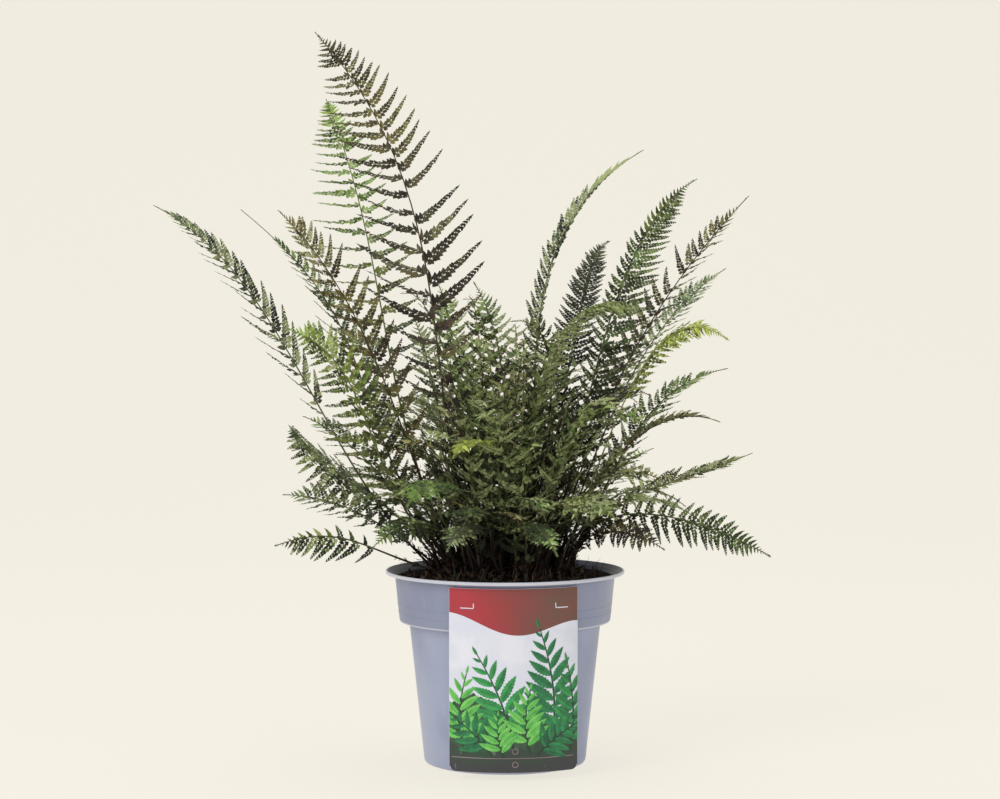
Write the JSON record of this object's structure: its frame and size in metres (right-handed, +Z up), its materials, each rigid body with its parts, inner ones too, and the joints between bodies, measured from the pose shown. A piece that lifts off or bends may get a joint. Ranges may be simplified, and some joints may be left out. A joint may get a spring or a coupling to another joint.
{
  "type": "potted fern",
  "caption": "Evergreen rock fern with arching, finely cut fronds, growing in a thin-walled tapered plastic grow pot with a picture label.",
  "frame": {"origin": "centre of the pot's flat underside", "axes": "+Z up along the pot's axis, -Y towards the front, where the label is, +X to the right seen from the front"},
  "size_m": [0.332, 0.2105, 0.395],
  "materials": {
    "pot": "thin moulded plastic, satin grey-lilac",
    "soil": "moist dark peat, rough",
    "crown": "dark brown scaly stalk bases, rough",
    "label": "printed plastic-coated card",
    "deep": "deep green leaf, satin",
    "blue": "grey-green leaf, satin",
    "bronze": "bronze-olive leaf, satin",
    "fresh": "mid green leaf, satin",
    "lime": "young yellow-green leaf, satin"
  },
  "bodies": {
    "root": {"pot": "pot", "soil": "soil", "crown": "crown", "label": "label", "frond_01": "bronze", "frond_02": "fresh", "frond_03": "blue", "frond_04": "deep", "frond_05": "bronze", "frond_06": "fresh", "frond_07": "blue", "frond_08": "deep", "frond_09": "deep", "frond_10": "blue", "frond_11": "blue", "frond_12": "deep", "frond_13": "blue", "frond_14": "bronze", "frond_15": "blue", "frond_16": "lime", "frond_17": "fresh", "frond_18": "deep", "frond_19": "bronze", "frond_20": "deep", "frond_21": "fresh", "frond_22": "deep", "frond_23": "blue", "frond_24": "bronze", "frond_25": "fresh", "frond_26": "blue", "frond_27": "fresh", "frond_28": "lime", "frond_29": "deep", "frond_30": "fresh", "frond_31": "deep", "frond_32": "blue", "frond_33": "bronze", "frond_34": "deep", "frond_35": "bronze", "frond_36": "blue", "frond_37": "deep", "frond_38": "deep", "frond_39": "bronze", "frond_40": "fresh", "frond_41": "blue", "frond_42": "deep", "frond_43": "deep", "frond_44": "bronze", "frond_45": "fresh", "frond_46": "blue", "frond_47": "deep", "frond_48": "bronze", "frond_49": "fresh", "frond_50": "deep", "frond_51": "deep"}
  },
  "joints": []
}
